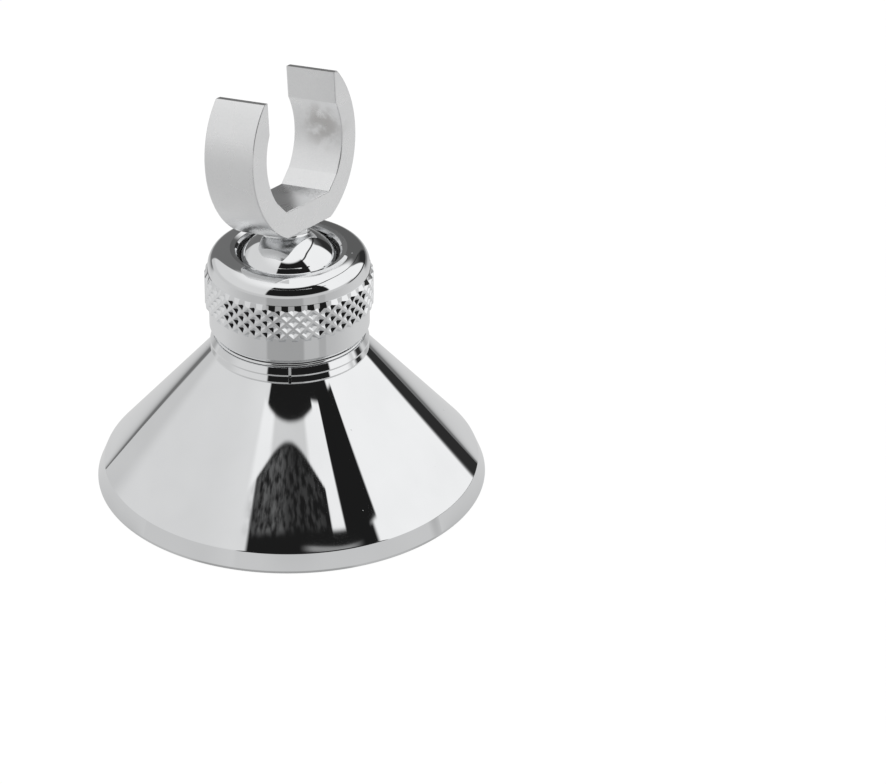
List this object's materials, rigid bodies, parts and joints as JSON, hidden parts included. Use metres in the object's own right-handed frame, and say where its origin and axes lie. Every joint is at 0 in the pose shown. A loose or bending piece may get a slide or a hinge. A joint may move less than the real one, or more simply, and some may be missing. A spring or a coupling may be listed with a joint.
{
  "type": "shower wall bracket",
  "caption": "Wall bracket for a hand shower: a conical rose with a knurled clamping nut, and an open holder on a ball joint.",
  "frame": {"origin": "on the bracket's axis, in the plane of the rose's rim, which is the wall plane", "axes": "+Z along the axis, away from the wall and up as it stands; X along the holder's bore before it leans"},
  "size_m": [0.07, 0.07, 0.0768],
  "materials": {
    "polished_chrome": "mirror-polished chrome plating on brass",
    "satin_chrome": "chrome plating over a fine satin ground",
    "plated_brass": "turned brass with a thin chrome plating",
    "dark_acetal": "machined dark acetal",
    "white_acetal": "machined natural acetal",
    "rubber": "moulded black rubber"
  },
  "bodies": {
    "base": {"rose": "polished_chrome", "body": "plated_brass", "split_ring": "polished_chrome", "pressure_washer": "rubber"},
    "seat": {"ball_seat": "white_acetal"},
    "ball_body": {"ball": "polished_chrome"},
    "holder_body": {"holder": "satin_chrome"},
    "clamp_ring": {"friction_ring": "dark_acetal"},
    "nut": {"knurled_nut": "polished_chrome"}
  },
  "joints": [
    {"name": "seat_turn", "type": "hinge", "parent": "base", "child": "seat", "pos_m": [0, 0, 0.0394], "axis": [0, 0, 1], "continuous": true},
    {"name": "holder_tilt", "type": "hinge", "parent": "seat", "child": "ball_body", "pos_m": [0, 0, 0.0394], "axis": [-0.6561, -0.7547, 0], "range_deg": [-26, 6]},
    {"name": "holder_spin", "type": "hinge", "parent": "ball_body", "child": "holder_body", "pos_m": [0, 0, 0.0394], "axis": [-0.131, 0.1139, 0.9848], "continuous": true},
    {"name": "ring_lift", "type": "slide", "parent": "base", "child": "clamp_ring", "axis": [0, 0, 1], "range_m": [0, 0.00075]},
    {"name": "nut_turn", "type": "hinge", "parent": "clamp_ring", "child": "nut", "pos_m": [0, 0, 0.0384], "axis": [0, 0, 1], "range_deg": [0, 360]}
  ],
  "couplings": [
    {"joint": "nut_turn", "follows": "ring_lift", "rad_per_m": 8377.6}
  ]
}
